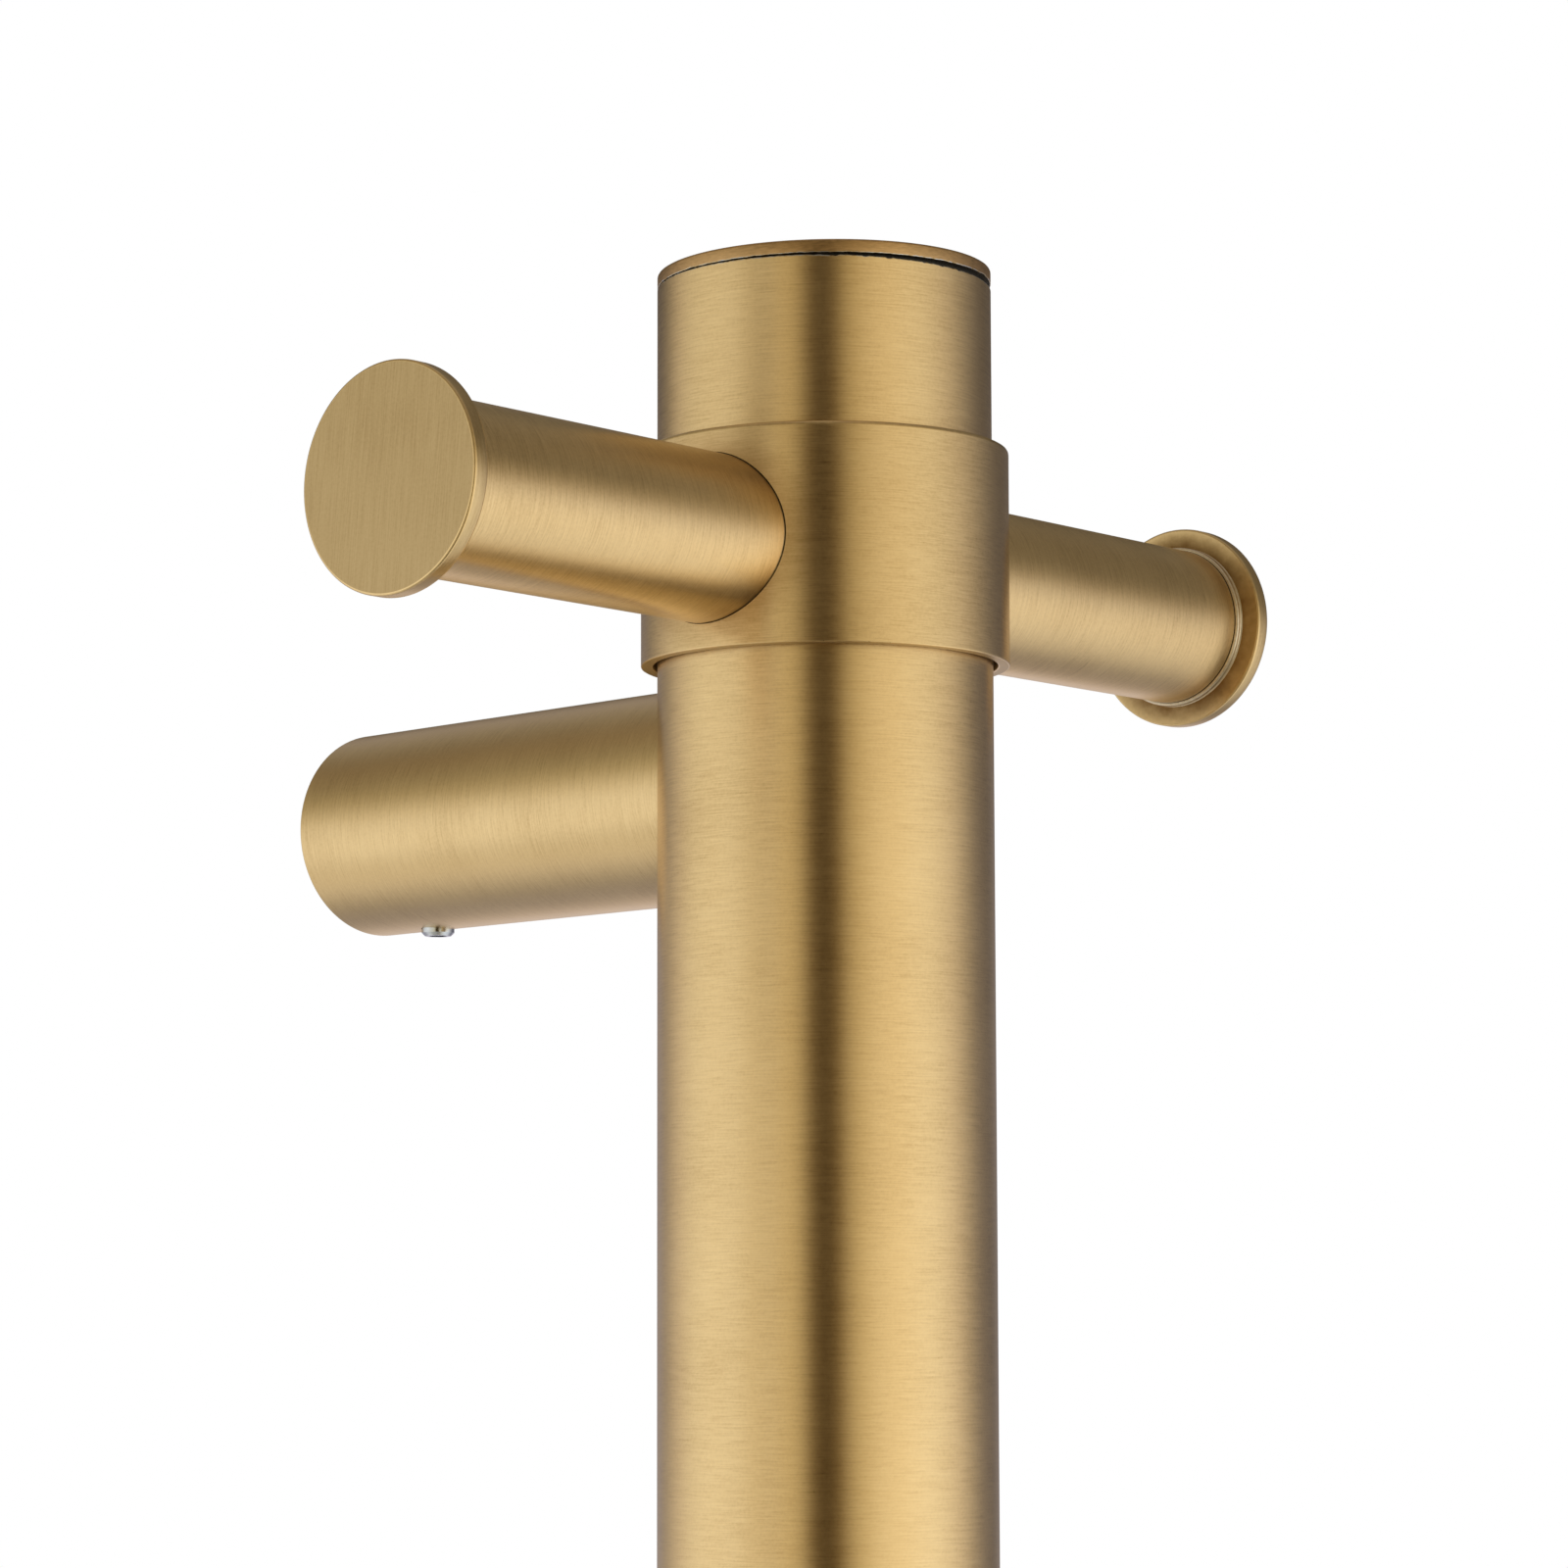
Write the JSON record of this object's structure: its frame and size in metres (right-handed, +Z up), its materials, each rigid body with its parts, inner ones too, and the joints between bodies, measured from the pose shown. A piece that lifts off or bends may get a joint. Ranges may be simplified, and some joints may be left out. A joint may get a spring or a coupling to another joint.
{
  "type": "heated towel rail",
  "caption": "Wall-mounted vertical heated towel rail in brushed brass: a round upright on two round brackets, with a slip-on hook ring that swivels and lifts off.",
  "frame": {"origin": "on the wall plane, midway between the two brackets, in the middle of the four wall-screw holes", "axes": "+Z up along the upright, +Y into the wall, -Y towards the room, +X to the right seen from the room"},
  "size_m": [0.144, 0.1023, 0.9],
  "materials": {
    "brushed_brass": "brushed, satin lacquer",
    "polished_brass": "turned, bright",
    "turned_brass": "as machined",
    "chromed_steel": "bright",
    "stainless_steel": "as drawn",
    "black_rubber": "matt",
    "element_sheath": "heat-tinted",
    "spacer_polymer": "matt",
    "silicone_seal": "matt",
    "cutout_resin": "matt",
    "live_insulation": "glossy",
    "neutral_insulation": "glossy",
    "earth_insulation": "glossy",
    "tinned_copper": "tinned",
    "block_polymer": "matt"
  },
  "bodies": {
    "rail": {"rail_tube": "brushed_brass", "top_cap": "brushed_brass", "bottom_cap": "brushed_brass", "top_cap_seal": "black_rubber", "bottom_cap_seal": "black_rubber", "upper_bracket_tube": "brushed_brass", "lower_bracket_tube": "brushed_brass", "upper_bracket_plug": "turned_brass", "lower_bracket_plug": "turned_brass", "upper_saddle_nut": "stainless_steel", "lower_saddle_nut": "stainless_steel", "bracket_bolts": "stainless_steel", "upper_wall_boss": "turned_brass", "lower_wall_boss": "turned_brass", "bracket_grub_screws": "chromed_steel", "heating_element": "element_sheath", "element_seal": "silicone_seal", "thermal_cutout": "cutout_resin", "live_lead": "live_insulation", "neutral_lead": "neutral_insulation", "earth_lead": "earth_insulation", "earth_tag": "tinned_copper", "earth_screw": "turned_brass", "terminal_block": "block_polymer", "cable_grommet": "black_rubber", "element_spacer_1": "spacer_polymer", "element_spacer_2": "spacer_polymer", "element_spacer_3": "spacer_polymer", "element_spacer_4": "spacer_polymer"},
    "glide_rings": {"lower_glide_ring": "black_rubber", "upper_glide_ring": "black_rubber"},
    "hook": {"hook_collar": "brushed_brass", "left_peg": "brushed_brass", "right_peg": "brushed_brass", "left_peg_disc": "brushed_brass", "right_peg_disc": "brushed_brass", "left_peg_plug": "turned_brass", "right_peg_plug": "turned_brass", "peg_screws": "stainless_steel"}
  },
  "joints": [
    {"name": "hook_lift", "type": "slide", "parent": "rail", "child": "glide_rings", "axis": [0, 0, 1], "range_m": [0, 0.055]},
    {"name": "hook_swivel", "type": "hinge", "parent": "glide_rings", "child": "hook", "pos_m": [0, -0.081, 0.4168], "axis": [0, 0, 1], "continuous": true}
  ]
}
